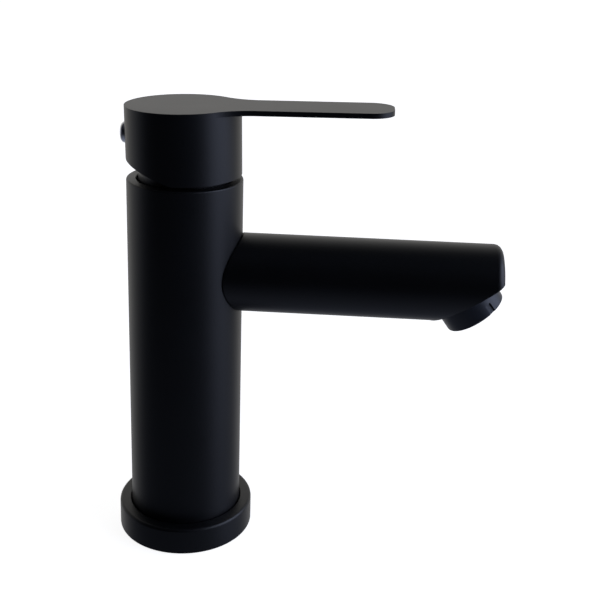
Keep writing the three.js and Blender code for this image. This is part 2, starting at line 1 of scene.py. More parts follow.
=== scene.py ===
import json
import math
import bmesh
import bpy
from mathutils import Matrix, Vector


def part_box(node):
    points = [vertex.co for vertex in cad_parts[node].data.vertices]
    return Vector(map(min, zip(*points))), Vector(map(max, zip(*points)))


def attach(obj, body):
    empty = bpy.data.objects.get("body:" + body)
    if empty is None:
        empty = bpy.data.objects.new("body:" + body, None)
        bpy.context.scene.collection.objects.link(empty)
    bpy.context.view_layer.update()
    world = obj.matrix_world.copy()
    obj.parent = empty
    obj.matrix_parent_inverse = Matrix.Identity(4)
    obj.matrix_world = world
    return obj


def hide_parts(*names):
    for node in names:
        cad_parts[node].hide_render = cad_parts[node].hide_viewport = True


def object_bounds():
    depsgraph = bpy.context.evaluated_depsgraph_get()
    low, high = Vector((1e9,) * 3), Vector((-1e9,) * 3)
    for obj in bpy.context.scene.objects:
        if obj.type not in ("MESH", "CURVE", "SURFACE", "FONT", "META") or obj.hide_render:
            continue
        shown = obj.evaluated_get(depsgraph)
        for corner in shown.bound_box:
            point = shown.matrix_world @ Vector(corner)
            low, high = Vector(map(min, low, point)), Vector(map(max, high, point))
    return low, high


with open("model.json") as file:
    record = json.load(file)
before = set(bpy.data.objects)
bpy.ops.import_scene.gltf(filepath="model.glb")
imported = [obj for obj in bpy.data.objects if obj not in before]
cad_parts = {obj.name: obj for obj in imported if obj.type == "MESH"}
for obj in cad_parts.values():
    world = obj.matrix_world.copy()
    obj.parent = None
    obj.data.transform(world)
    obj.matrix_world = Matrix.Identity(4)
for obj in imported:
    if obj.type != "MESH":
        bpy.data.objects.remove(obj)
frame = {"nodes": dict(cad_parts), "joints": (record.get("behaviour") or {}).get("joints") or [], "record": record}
cadLow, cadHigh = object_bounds()
print("frame loaded")

mm = 0.001  # pieces are drawn in millimetres and scaled once, at the end
gap = 0.3  # clearance between fixed pieces
roundSteps = 128  # flat sides of a large turned piece
middleSteps = 96  # a middling one, and the round floor
smallSteps = 64
mergeDistance = 0.004
onPlane = 0.001  # how near a point has to be to count as on a plane
sharpAngle = 32


def boxOf(node):
    low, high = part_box(node)
    return low / mm, high / mm


bodyLow, bodyHigh = boxOf("body_tube")
ringHigh = boxOf("base_ring")[1]
spoutHigh = boxOf("spout_tube")[1]
plugHigh = boxOf("base_plug")[1]
gasketHigh = boxOf("base_gasket")[1]
coverLow, coverHigh = boxOf("bonnet")
bodyRadius = bodyHigh.y
spoutRadius = spoutHigh.y
spoutMiddle = spoutHigh.z - spoutRadius
capRadius = boxOf("lever_handle")[1].y
joints = {joint["name"]: joint for joint in frame["joints"]}
pivot = Vector(joints["handle_lift"]["pos_m"]) / mm
mounts = {mount["name"]: mount for mount in frame["record"]["mounts"]}


# shader wiring

class Signal:  # one output socket, with arithmetic on it
    def __init__(self, tree, socket):
        self.tree = tree
        self.socket = socket

    def node(self, kind, settings, values, output=0):
        made = self.tree.nodes.new(kind)
        for name, value in settings.items():
            setattr(made, name, value)
        for name, value in values.items():
            if isinstance(value, Signal):
                self.tree.links.new(value.socket, made.inputs[name])
            else:
                made.inputs[name].default_value = value
        return Signal(self.tree, made.outputs[output]) if made.outputs else None

    def maths(self, operation, first, second):
        return self.node("ShaderNodeMath", {"operation": operation}, {0: first, 1: second})

    def __add__(self, other):
        return self.maths("ADD", self, other)

    def __radd__(self, other):
        return self.maths("ADD", other, self)

    def __sub__(self, other):
        return self.maths("SUBTRACT", self, other)

    def __rsub__(self, other):
        return self.maths("SUBTRACT", other, self)

    def __mul__(self, other):
        return self.maths("MULTIPLY", self, other)

    def __rmul__(self, other):
        return self.maths("MULTIPLY", other, self)

    def ramp(self, low, high, fromValue=0.0, toValue=1.0):  # smooth step
        return self.node(
            "ShaderNodeMapRange",
            {"interpolation_type": "SMOOTHSTEP"},
            {
                "Value": self,
                "From Min": low,
                "From Max": high,
                "To Min": fromValue,
                "To Max": toValue,
            },
            "Result",
        )

    def blend(self, first, second):  # self is the factor between two colours
        mixed = {"data_type": "RGBA", "clamp_factor": False}
        return self.node("ShaderNodeMix", mixed, {0: self, 6: first, 7: second}, 2)

    def part(self, axis):
        return self.node("ShaderNodeSeparateXYZ", {}, {0: self}, axis)

    def noise(self, scale, detail=2.0, roughness=0.5):
        values = {"Vector": self, "Scale": scale, "Detail": detail, "Roughness": roughness}
        return self.node("ShaderNodeTexNoise", {}, values, 0)

    def stretched(self, scale):
        return self.node("ShaderNodeMapping", {}, {"Vector": self, "Scale": scale})


def rgba(red, green, blue):
    return (red, green, blue, 1.0)


def newMaterial(name):
    material = bpy.data.materials.new(name)
    material.use_nodes = True
    tree = material.node_tree
    tree.nodes.clear()
    start = Signal(tree, None)
    place = start.node("ShaderNodeTexCoord", {}, {}, "Object")
    return material, place


def dressed(material, place, values):  # closes the material with its surface
    surface = place.node("ShaderNodeBsdfPrincipled", {}, values)
    place.node("ShaderNodeOutputMaterial", {}, {"Surface": surface})
    return material


def bumped(height, depth):  # depth in metres
    values = {"Height": height, "Distance": depth, "Strength": 1.0}
    return height.node("ShaderNodeBump", {}, values, "Normal")


coatLook = {
    "dark": rgba(0.0022, 0.0024, 0.0031),
    "light": rgba(0.0046, 0.0050, 0.0062),
    "roughness": 0.36,
    "grain": 5200,  # fine powder texture, about 0.2 mm
    "peel": 520,  # slow waves in the coat
    "depth": 0.0000045,
}


def blackCoat():
    look = coatLook
    material, place = newMaterial("satinBlackCoat")
    grain = place.noise(look["grain"], 3.0)
    peel = place.noise(look["peel"], 1.0)
    handling = place.noise(38, 3.0, 0.6)
    tone = handling.ramp(0.3, 0.7) * 0.6 + grain * 0.4
    rough = look["roughness"] + 0.05 * handling + 0.05 * grain
    return dressed(material, place, {
        "Base Color": tone.blend(look["dark"], look["light"]),
        "Roughness": rough,
        "IOR": 1.5,
        "Normal": bumped(grain * 0.7 + peel * 1.4, look["depth"]),
    })


def brushedMetal(name, dark, light, roughness, lay):  # lay stretches the marks along one axis
    material, place = newMaterial(name)
    marks = place.stretched(lay).noise(900, 4.0, 0.7)
    cloud = place.noise(60, 3.0)
    return dressed(material, place, {
        "Base Color": (cloud * 0.6 + marks * 0.4).blend(dark, light),
        "Metallic": 1.0,
        "Roughness": roughness + 0.14 * marks,
        "Normal": bumped(marks, 0.000008),
    })


def mouldedPlastic(name, dark, light, roughness, depth):
    material, place = newMaterial(name)
    skin = place.noise(2600, 2.0)
    cloud = place.noise(90, 2.0)
    return dressed(material, place, {
        "Base Color": cloud.blend(dark, light),
        "Roughness": roughness + 0.08 * skin + 0.04 * cloud,
        "IOR": 1.5,
        "Normal": bumped(skin, depth),
    })


def splitIndex():  # hot half red, cold half blue
    material, place = newMaterial("indexRedBlue")
    half = place.part("Y").ramp(-0.00008, 0.00008)
    skin = place.noise(1800, 2.0)
    return dressed(material, place, {
        "Base Color": half.blend(rgba(0.35, 0.012, 0.012), rgba(0.012, 0.03, 0.26)),
        "Roughness": 0.1 + 0.06 * skin,
        "Normal": bumped(skin, 0.000002),
    })


coat = blackCoat()
brass = brushedMetal(
    "brass", rgba(0.42, 0.27, 0.10), rgba(0.62, 0.43, 0.17), 0.26, (1, 1, 6)
)
steel = brushedMetal(
    "stainlessSteel", rgba(0.40, 0.41, 0.42), rgba(0.60, 0.61, 0.62), 0.24, (1, 1, 8)
)
chrome = brushedMetal(
    "chromeRim", rgba(0.82, 0.83, 0.85), rgba(0.90, 0.91, 0.93), 0.24, (1, 1, 1)
)
rubber = mouldedPlastic(
    "blackRubber", rgba(0.010, 0.010, 0.011), rgba(0.020, 0.020, 0.021), 0.66, 0.00002
)
aeratorPlastic = mouldedPlastic(
    "aeratorPlastic", rgba(0.026, 0.030, 0.040), rgba(0.036, 0.041, 0.053), 0.33, 0.000003
)
whitePlastic = mouldedPlastic(
    "whitePlastic", rgba(0.66, 0.66, 0.62), rgba(0.76, 0.76, 0.72), 0.4, 0.00001
)
bluePlastic = mouldedPlastic(
    "bluePlastic", rgba(0.02, 0.10, 0.34), rgba(0.03, 0.14, 0.42), 0.36, 0.00001
)
ceramic = mouldedPlastic(
    "ceramic", rgba(0.72, 0.68, 0.60), rgba(0.82, 0.79, 0.72), 0.14, 0.000002
)
indexColours = splitIndex()
print("materials made")


# shaping

# outline is a list of (radius, height, rounding) corners, turned about Z
def turned(outline, steps=roundSteps):
    bm = bmesh.new()
    corners = [bm.verts.new((radius, 0, height)) for radius, height, rounding in outline]
    bm.faces.new(corners)
    for corner, (radius, height, rounding) in zip(corners, outline):
        if rounding:
            bmesh.ops.bevel(
                bm, geom=[corner], offset=rounding, offset_type="OFFSET", segments=4,
                profile=0.5, affect="VERTICES", material=-1,
            )
    bmesh.ops.delete(bm, geom=bm.faces[:], context="FACES_ONLY")
    onAxis = [e for e in bm.edges if all(abs(v.co.x) < mergeDistance for v in e.verts)]
    bmesh.ops.delete(bm, geom=onAxis, context="EDGES")
    bmesh.ops.spin(
        bm, geom=bm.verts[:] + bm.edges[:], cent=(0, 0, 0), axis=(0, 0, 1),
        angle=2 * math.pi, steps=steps, use_merge=True,
    )
    bmesh.ops.remove_doubles(bm, verts=bm.verts, dist=mergeDistance)
    bmesh.ops.recalc_face_normals(bm, faces=bm.faces)
    return bm


def moved(bm, matrix):
    bmesh.ops.transform(bm, matrix=matrix, verts=bm.verts)
    return bm


def joined(first, second):
    spare = bpy.data.meshes.new("spare")
    second.to_mesh(spare)
    second.free()
    first.from_mesh(spare)
    bpy.data.meshes.remove(spare)
    return first


def objectFrom(bm, name):
    bmesh.ops.scale(bm, vec=(mm, mm, mm), verts=bm.verts)
    mesh = bpy.data.meshes.new(name)
    bm.to_mesh(mesh)
    bm.free()
    made = bpy.data.objects.new(name, mesh)
    bpy.context.scene.collection.objects.link(made)
    return made


def carved(target, cutters):  # cuts the shapes out and keeps the result as a plain mesh
    tools = [objectFrom(cutter, "cutter") for cutter in cutters]
    for tool in tools:
        change = target.modifiers.new("cut", "BOOLEAN")
        change.operation = "DIFFERENCE"
        change.solver = "EXACT"
        change.object = tool
    bpy.context.view_layer.update()
    graph = bpy.context.evaluated_depsgraph_get()
    cutMesh = bpy.data.meshes.new_from_object(target.evaluated_get(graph))
    target.modifiers.clear()
    target.data = cutMesh
    for tool in tools:
        bpy.data.objects.remove(tool)
    return target


def finished(made, material, body, slotName, *nodes):
    mesh = made.data
    mesh.materials.clear()
    mesh.materials.append(material)
    mesh.shade_smooth()
    mesh.set_sharp_from_angle(angle=math.radians(sharpAngle))
    # keeps flats flat beside round edges
    even = made.modifiers.new("evenNormals", "WEIGHTED_NORMAL")
    even.keep_sharp = True
    even.weight = 60
    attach(made, body)
    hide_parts(*nodes)
    print("made", made.name, len(mesh.polygons), "faces")
    return made


def upright(x, y):
    return Matrix.Translation((x, y, 0))


# body and base

bodySizes = {
    "bore": bodyRadius - 3.8,
    "rimRound": 0.7,
    "innerRound": 0.5,
    "footRound": 0.4,
    "boreEdge": 0.3,
}
ringSizes = {
    "bore": bodySizes["bore"] + gap,
    "grooveIn": 1.8,  # bore to the gasket groove
    "grooveOut": 2.0,  # groove to the rim
    "smallEdge": 0.2,
    "ledge": 3.0,
    "topRound": 1.2,
    "innerRound": 0.5,
    "bottomRound": 0.4,
    "gasketHeight": gasketHigh.z,
}


def makeBody():
    s = bodySizes
    shell = turned([
        (s["bore"], bodyLow.z, s["boreEdge"]),
        (bodyRadius, bodyLow.z, s["footRound"]),
        (bodyRadius, bodyHigh.z, s["rimRound"]),
        (s["bore"], bodyHigh.z, s["innerRound"]),
    ])
    finished(objectFrom(shell, "mixerBody"), coat, "body", "black_coat", "body_tube")


def makeRing():
    s = ringSizes
    edge = s["smallEdge"]
    gasketIn, gasketOut = s["bore"] + s["grooveIn"], ringHigh.y - s["grooveOut"]
    top = s["gasketHeight"] + gap
    shell = turned([
        (s["bore"], 0, edge),
        (gasketIn, 0, edge),
        (gasketIn, top, 0),
        (gasketOut, top, 0),
        (gasketOut, 0, edge),
        (ringHigh.y, 0, s["bottomRound"]),
        (ringHigh.y, ringHigh.z, s["topRound"]),
        (bodyRadius + gap, ringHigh.z, s["innerRound"]),
        (bodyRadius + gap, s["ledge"], 0),
        (s["bore"], s["ledge"], edge),
    ])
    finished(objectFrom(shell, "deckRing"), coat, "body", "black_coat", "base_ring")
    seal = turned([
        (gasketIn + gap, 0, edge),
        (gasketHigh.y, 0, edge),
        (gasketHigh.y, s["gasketHeight"], edge),
        (gasketIn + gap, s["gasketHeight"], edge),
    ])
    finished(objectFrom(seal, "deckGasket"), rubber, "body", "rubber", "base_gasket")


plugSizes = {
    "portX": -5.0,
    "portY": 8.0,
    "portRadius": 4.6,
    "portDepth": 9.0,
    "studX": 10.0,
    "studRadius": 3.4,
    "studDepth": 11.0,
    "threadPitch": 1.0,
    "threadDepth": 0.5,
    "leadIn": 0.9,
    "socketRadius": 4.2,
    "socketDepth": 5.0,
    "drillRadius": 2.4,
    "sealRadius": 5.6,
    "sealDepth": 1.8,
    "footRound": 0.6,
    "topRound": 0.4,
}


# a ringed wall with a lead-in chamfer, and the corners of what lies beyond it
def threadedHole(radius, depth, beyond=None):
    s = plugSizes
    lead = s["leadIn"]
    outline = [(0, -1, 0), (radius + lead + 1, -1, 0), (radius, lead, 0)]
    height = lead
    while height + s["threadPitch"] < depth:
        outline.append((radius - s["threadDepth"], height + s["threadPitch"] / 2, 0))
        height += s["threadPitch"]
        outline.append((radius, height, 0))
    outline.append((radius - s["threadDepth"], depth, 0))
    return turned(outline + (beyond or [(0, depth, 0)]), smallSteps)


def makePlug():
    s = plugSizes
    block = turned([
        (0, 0, 0),
        (plugHigh.y, 0, s["footRound"]),
        (plugHigh.y, plugHigh.z, s["topRound"]),
        (0, plugHigh.z, 0),
    ])
    top = plugHigh.z
    floor = top - s["socketDepth"]
    pocket = top - s["sealDepth"]
    waterway = [  # drilling, pipe socket and seal pocket above each port
        (s["drillRadius"], s["portDepth"], 0),
        (s["drillRadius"], floor, 0),
        (s["socketRadius"], floor, 0),
        (s["socketRadius"], pocket, 0),
        (s["sealRadius"], pocket, 0),
        (s["sealRadius"], top + 1, 0),
        (0, top + 1, 0),
    ]
    cutters = [moved(threadedHole(s["studRadius"], s["studDepth"]), upright(s["studX"], 0))]
    for side in (-1, 1):
        port = threadedHole(s["portRadius"], s["portDepth"], waterway)
        cutters.append(moved(port, upright(s["portX"], side * s["portY"])))
    plug = carved(objectFrom(block, "bottomPlug"), cutters)
    finished(plug, brass, "body", "brass", "base_plug")


makeBody()
makeRing()
makePlug()


# spout and aerator

spoutSizes = {
    "wall": 2.7,
    "endRound": 3.2,
    "startEdge": 0.35,
    "boreEdge": 0.2,
    "seam": 0.3,
    "tilt": math.radians(36),
    "boreEnd": 90.0,
    "socketDepth": 9.3,
    "socketRadius": 11.5,
    "socketLead": 0.3,
    "outletSteps": ((0.1, 0.25), (0.25, 0.1)),  # inward and outward, round the outlet edge
}
aeratorSizes = {
    "drop": 8.0,
    "radius": 12.5,
    "threadRadius": 11.2,
    "thread": 6.5,
    "bore": 9.5,
    "lip": 8.6,
    "rimRound": 0.6,
    "topRound": 0.4,
    "lipRound": 0.3,
    "ledgeHeight": 1.9,  # rim up to the ledge that holds the straightener
    "ledgeRound": 0.2,
    "notchEdge": 0.2,
    "notchWidth": 2.6,
    "notchDepth": 0.8,
    "notchHeight": 4.0,
    "notches": 2,
    "firstNotch": -57.0,
    "grilleRadius": 9.2,
    "grilleLow": -5.5,
    "grilleHeight": 3.6,
    "cell": 1.5,
    "cellWall": 0.17,
    "cellMargin": 0.75,  # in cells, from the hoop's rim to the last cell's middle
    "hoopWall": 1.1,
    "hoopEdge": 0.1,
}
outletMount = mounts["outlet_face"]
outletAxis = Vector(outletMount["axis"]).normalized()  # out of the spout
outletRim = Vector(outletMount["pos_m"]) / mm
outletRim.y = 0
outletMiddle = outletRim - outletAxis * aeratorSizes["drop"]
toOutlet = Matrix.Translation(outletMiddle) @ Matrix.Rotation(-spoutSizes["tilt"], 4, "Y")


def makeSpout():
    s = spoutSizes
    start = bodyRadius + s["seam"]
    end = spoutHigh.x
    inner = spoutRadius - s["wall"]
    bm = turned([  # along +X after it is laid down
        (0, s["boreEnd"], 0),
        (inner, s["boreEnd"], 0),
        (inner, start, s["boreEdge"]),
        (spoutRadius, start, s["startEdge"]),
        (spoutRadius, end, s["endRound"]),
        (0, end, 0),
    ])
    lie = Matrix.Translation((0, 0, spoutMiddle)) @ Matrix.Rotation(math.pi / 2, 4, "Y")
    moved(bm, lie)
    for vertex in bm.verts:  # the start follows the round of the body
        if vertex.co.x < start + 1:
            vertex.co.x += math.sqrt(start ** 2 - vertex.co.y ** 2) - start
    face = outletMiddle - outletAxis * sum(depth for inset, depth in s["outletSteps"])
    bmesh.ops.bisect_plane(
        bm, geom=bm.verts[:] + bm.edges[:] + bm.faces[:], dist=onPlane,
        plane_co=face, plane_no=outletAxis, clear_outer=True,
    )
    rim = [e for e in bm.edges if e.is_boundary]
    filled = bmesh.ops.edgeloop_fill(bm, edges=rim)["faces"]
    for inset, depth in s["outletSteps"]:
        bmesh.ops.recalc_face_normals(bm, faces=bm.faces)
        bmesh.ops.inset_region(
            bm, faces=filled, thickness=inset, depth=depth, use_even_offset=True
        )
    rim = list(filled[0].edges)
    bmesh.ops.delete(bm, geom=filled, context="FACES_ONLY")
    socket = s["socketRadius"]
    lead = s["socketLead"]  # small chamfer where the socket starts
    mouth = bmesh.ops.create_circle(
        bm, radius=socket + lead, segments=middleSteps, matrix=toOutlet,
    )
    mouthEdges = list({e for v in mouth["verts"] for e in v.link_edges})
    bmesh.ops.bridge_loops(bm, edges=rim + mouthEdges)
    for depth, share in ((lead, socket / (socket + lead)), (s["socketDepth"] - lead, 1.0)):
        step = bmesh.ops.extrude_edge_only(bm, edges=mouthEdges)["geom"]
        mouthEdges = [g for g in step if isinstance(g, bmesh.types.BMEdge)]
        ringVerts = [g for g in step if isinstance(g, bmesh.types.BMVert)]
        bmesh.ops.translate(bm, vec=-outletAxis * depth, verts=ringVerts)
        centre = sum((v.co for v in ringVerts), Vector()) / len(ringVerts)
        toCentre = Matrix.Translation(-centre)
        bmesh.ops.scale(bm, vec=(share, share, share), space=toCentre, verts=ringVerts)
    bmesh.ops.edgeloop_fill(bm, edges=mouthEdges)
    bmesh.ops.recalc_face_normals(bm, faces=bm.faces)
    finished(objectFrom(bm, "spout"), coat, "body", "black_coat", "spout_tube")


def makeAerator():
    s = aeratorSizes
    low = -s["drop"]
    ledge = low + s["ledgeHeight"]
    shell = turned([
        (s["lip"], low, s["lipRound"]),
        (s["radius"], low, s["rimRound"]),
        (s["radius"], -gap, s["topRound"]),
        (s["threadRadius"], -gap, 0),
        (s["threadRadius"], s["thread"], s["topRound"]),
        (s["bore"], s["thread"], 0),
        (s["bore"], ledge, 0),
        (s["lip"], ledge, s["ledgeRound"]),
    ], middleSteps)
    body = objectFrom(shell, "aerator")
    cutters = []
    for i in range(s["notches"]):
        box = bmesh.new()
        bmesh.ops.create_cube(box, size=1)
        size = (2 * s["notchDepth"], s["notchWidth"], 2 * s["notchHeight"])
        bmesh.ops.scale(box, vec=size, verts=box.verts)
        bmesh.ops.bevel(
            box, geom=box.edges[:], offset=s["notchEdge"], offset_type="OFFSET", segments=2,
            profile=0.5, affect="EDGES", material=-1,
        )
        angle = math.radians(s["firstNotch"]) + 2 * math.pi * i / s["notches"]
        place = Matrix.Rotation(angle, 4, "Z") @ Matrix.Translation((s["radius"], 0, low))
        cutters.append(moved(box, place))
    body = carved(body, cutters)
    body.data.transform(Matrix.Scale(mm, 4) @ toOutlet @ Matrix.Scale(1 / mm, 4))
    finished(body, aeratorPlastic, "body", "dark_plastic", "aerator_housing")


def makeGrille():  # a honeycomb straightener inside a thin hoop
    s = aeratorSizes
    bm = bmesh.new()
    pitch = s["cell"]
    reach = int(s["grilleRadius"] / pitch) + 1
    for row in range(-reach, reach + 1):
        for column in range(-reach, reach + 1):
            x = (column + 0.5 * (row % 2)) * pitch
            y = row * pitch * math.sqrt(3) / 2
            if math.hypot(x, y) > s["grilleRadius"] - s["cellMargin"] * pitch:
                continue
            turn = Matrix.Translation((x, y, 0)) @ Matrix.Rotation(math.pi / 6, 4, "Z")
            bmesh.ops.create_circle(
                bm, cap_ends=True, segments=6, radius=pitch / math.sqrt(3), matrix=turn
            )
    bmesh.ops.remove_doubles(bm, verts=bm.verts, dist=0.02)
    cells = bm.faces[:]
    bmesh.ops.inset_individual(bm, faces=cells, thickness=s["cellWall"], use_even_offset=True)
    bmesh.ops.delete(bm, geom=cells, context="FACES_ONLY")
    skin = bmesh.ops.extrude_face_region(bm, geom=bm.faces[:])["geom"]
    raised = [g for g in skin if isinstance(g, bmesh.types.BMVert)]
    bmesh.ops.translate(bm, vec=(0, 0, s["grilleHeight"]), verts=raised)
    bmesh.ops.recalc_face_normals(bm, faces=bm.faces)
    moved(bm, Matrix.Translation((0, 0, s["grilleLow"])))
    edge = s["hoopEdge"]
    outer, inner = s["grilleRadius"], s["grilleRadius"] - s["hoopWall"]
    low, high = s["grilleLow"] - edge, s["grilleLow"] + s["grilleHeight"]
    hoop = turned([
        (inner, low, edge),
        (outer, low, edge),
        (outer, high, edge),
        (inner, high, edge),
    ], middleSteps)
    moved(joined(bm, hoop), toOutlet)
    grille = objectFrom(bm, "aeratorGrille")
    finished(grille, aeratorPlastic, "body", "dark_plastic", "aerator_insert")


makeSpout()
makeAerator()
makeGrille()


# neck cover under the cap

coverSizes = {
    "wall": 1.2,
    "mouth": 12.0,
    "mouthRound": 0.4,
    "slope": 3.0,
    "shoulderRound": 1.0,
    "shoulderDrop": 0.6,  # inner corner below the outer one
    "footRound": 0.3,
    "smallEdge": 0.2,
}


def makeNeckCover():
    s = coverSizes
    radius = coverHigh.y
    inner = radius - s["wall"]
    top = coverHigh.z
    shell = turned([
        (inner, coverLow.z, s["smallEdge"]),
        (radius, coverLow.z, s["footRound"]),
        (radius, top - s["slope"], s["shoulderRound"]),
        (s["mouth"] + 1, top, s["mouthRound"]),
        (s["mouth"], top, s["smallEdge"]),
        (s["mouth"], top - s["wall"], 0),
        (s["mouth"] + 0.8, top - s["wall"], 0),
        (inner, top - s["slope"] - s["shoulderDrop"], s["shoulderDrop"]),
    ])
    finished(objectFrom(shell, "neckCover"), coat, "body", "black_coat", "bonnet")


makeNeckCover()


# lever handle

leverSizes = {
    "reach": 79.7,
    "halfWidth": 11.5,
    "thickness": 2.0,
    "blend": 22.0,
    "tipRound": 9.0,
    "lean": math.radians(1),
    "bottom": 11.0,  # above the pivot
    "height": 27.0,
    "wall": 2.6,
    "roof": 3.0,
    "bossRadius": 8.5,
    "bossBottom": 22.0,
    "reliefStart": 1.5,
    "reliefTilt": math.radians(18.5),
    "edge": 0.4,
    "edgeAngle": math.radians(40),  # corners sharper than this are rounded
    "indexHeight": 26.6,
    "indexPocket": 4.5,  # radius of the flat that the button sits on
    "indexFlat": 0.7,
    "circleSteps": 52,
    "curveSteps": 20,
    "bridgeSteps": 40,
}
leaning = Matrix.Translation(pivot) @ Matrix.Rotation(-leverSizes["lean"], 4, "Y")


def indexPlace(turn):  # a level axis at the height of the index button
    height = Matrix.Translation((0, 0, leverSizes["indexHeight"]))
    return leaning @ height @ Matrix.Rotation(turn, 4, "Y")


# spins one vertex into an arc and returns its far end
def arcFrom(bm, vertex, centre, angle, steps):
    step = bmesh.ops.spin(
        bm, geom=[vertex], cent=centre, axis=(0, 0, 1), angle=angle, steps=steps, use_merge=False
    )
    return [g for g in step["geom_last"] if isinstance(g, bmesh.types.BMVert)][0]


def lineFrom(bm, vertex, place):
    far = bmesh.ops.extrude_vert_indiv(bm, verts=[vertex])["verts"][0]
    far.co = place
    return far


def leverPlan(bm, top):  # half the outline, then its mirror image
    s = leverSizes
    around = capRadius + s["blend"]
    across = s["halfWidth"] + s["blend"]
    blendX = math.sqrt(around ** 2 - across ** 2)
    meet = math.atan2(across, blendX)
    tipX, tipY = s["reach"] - s["tipRound"], s["halfWidth"] - s["tipRound"]
    back = bm.verts.new((-capRadius, 0, top))
    shoulder = arcFrom(bm, back, (0, 0, top), -(math.pi - meet), s["circleSteps"])
    curve = s["curveSteps"]
    straight = arcFrom(bm, shoulder, (blendX, across, top), math.pi / 2 - meet, curve)
    corner = lineFrom(bm, straight, (tipX, s["halfWidth"], top))
    tip = arcFrom(bm, corner, (tipX, tipY, top), -math.pi / 2, curve)
    lineFrom(bm, tip, (s["reach"], 0, top))
    bmesh.ops.mirror(bm, geom=bm.verts[:] + bm.edges[:], axis="Y", merge_dist=mergeDistance)
    bmesh.ops.remove_doubles(bm, verts=bm.verts, dist=mergeDistance)
    face = bmesh.ops.edgeloop_fill(bm, edges=bm.edges[:])["faces"][0]
    return face, meet


def pulled(bm, face, distance, keep=False):  # extrudes one face straight up or down
    step = bmesh.ops.extrude_face_region(bm, geom=[face])["geom"]
    far = [g for g in step if isinstance(g, bmesh.types.BMFace)][0]
    if not keep:
        bmesh.ops.delete(bm, geom=[face], context="FACES_ONLY")
    bmesh.ops.translate(bm, vec=(0, 0, distance), verts=list(far.verts))
    return far


def onCap(angle, height):  # a point on the cap's circle
    return Vector((capRadius * math.cos(angle), capRadius * math.sin(angle), height))


def makeLever():
    s = leverSizes
    top = s["bottom"] + s["height"]
    bm = bmesh.new()
    upper, meet = leverPlan(bm, top)
    under = pulled(bm, upper, -s["thickness"], keep=True)
    # the cap's circle is closed across the underside of the lever
    z = top - s["thickness"]
    ends = [min(under.verts, key=lambda v: (v.co - onCap(a, z)).length) for a in (meet, -meet)]
    steps = s["bridgeSteps"]
    bridge = [onCap(meet - 2 * meet * i / steps, z) for i in range(1, steps)]
    bmesh.utils.face_split(under, *ends, coords=bridge)
    underside = [f for f in bm.faces if all(abs(v.co.z - z) < onPlane for v in f.verts)]
    cap = min(underside, key=lambda f: f.calc_center_median().x)
    cap = pulled(bm, cap, s["thickness"] - s["height"])
    bossInset = capRadius - s["wall"] - s["bossRadius"]
    bossDrop = s["bossBottom"] - (top - s["roof"])
    for inset, distance in ((s["wall"], s["height"] - s["roof"]), (bossInset, bossDrop)):
        bmesh.ops.recalc_face_normals(bm, faces=bm.faces)
        bmesh.ops.inset_region(bm, faces=[cap], thickness=inset, depth=0, use_even_offset=True)
        cap = pulled(bm, cap, distance)
    bmesh.ops.recalc_face_normals(bm, faces=bm.faces)
    edges = [e for e in bm.edges if e.is_manifold and e.calc_face_angle() > s["edgeAngle"]]
    bmesh.ops.bevel(
        bm, geom=edges, offset=s["edge"], offset_type="OFFSET", segments=3,
        profile=0.5, affect="EDGES", material=-1, clamp_overlap=True,
    )
    # the rear of the cap is cut away so that the lever can lift
    away = Vector((-math.sin(s["reliefTilt"]), 0, -math.cos(s["reliefTilt"])))
    bmesh.ops.bisect_plane(
        bm, geom=bm.verts[:] + bm.edges[:] + bm.faces[:], dist=0.0005,
        plane_co=(-s["reliefStart"], 0, s["bottom"]), plane_no=away, clear_outer=True,
    )
    bmesh.ops.edgenet_fill(bm, edges=[e for e in bm.edges if e.is_boundary])
    bmesh.ops.recalc_face_normals(bm, faces=bm.faces)
    moved(bm, leaning)
    handle = objectFrom(bm, "leverHandle")
    flat = s["indexFlat"] - capRadius
    pocket = turned([
        (0, -capRadius - 2, 0),
        (s["indexPocket"], -capRadius - 2, 0),
        (s["indexPocket"], flat, 0),
        (0, flat, 0),
    ], smallSteps)
    carved(handle, [moved(pocket, indexPlace(math.pi / 2))])
    finished(handle, coat, "handle", "black_coat", "lever_handle")


buttonSizes = {
    "radius": 4.2,
    "spigot": 3.0,
    "spigotLength": 2.8,
    "spigotRound": 0.3,
    "seat": 0.4,  # how deep the rim sits in the flat
    "proud": 2.2,
    "rimRound": 1.5,
    "rimEdge": 0.15,
    "shoulder": 0.5,  # from here on, depths below the crown of the dome
    "faceEdge": 0.35,
    "faceDepth": 1.0,
    "domeUnder": 0.85,
    "domeSide": 0.45,
    "domeRise": 0.12,
    "faceRadius": 2.5,
    "faceGap": 0.1,
    "domeShare": 0.6,  # of the face's radius, where the dome bends
    "domeRound": 0.6,
    "domeEdge": 0.2,
}


def makeButton():
    s = buttonSizes
    seat = capRadius - s["seat"]
    front = capRadius + s["proud"]
    rear = capRadius - s["spigotLength"]
    floor = front - s["faceDepth"]
    mouth = s["faceRadius"] + s["faceGap"]
    rim = turned([
        (0, rear, 0),
        (s["spigot"], rear, s["spigotRound"]),
        (s["spigot"], seat, 0),
        (s["radius"], seat, s["rimEdge"]),
        (s["radius"], front - s["shoulder"], s["rimRound"]),
        (mouth, front - s["faceEdge"], s["rimEdge"]),
        (mouth, floor, 0),
        (0, floor, 0),
    ], smallSteps)
    under = front - s["domeUnder"]
    dome = turned([
        (0, under, 0),
        (s["faceRadius"], under, 0),
        (s["faceRadius"], front - s["domeSide"], s["domeEdge"]),
        (s["faceRadius"] * s["domeShare"], front - s["domeRise"], s["domeRound"]),
        (0, front, 0),
    ], smallSteps)
    place = indexPlace(-math.pi / 2)
    rimMade = objectFrom(moved(rim, place), "indexRim")
    finished(rimMade, chrome, "handle", "index_rim", "index_button")
    domeMade = objectFrom(moved(dome, place), "indexDome")
    finished(domeMade, indexColours, "handle", "index_disc", "index_insert")


makeLever()
makeButton()


# inner parts keep their shape and get their finishes

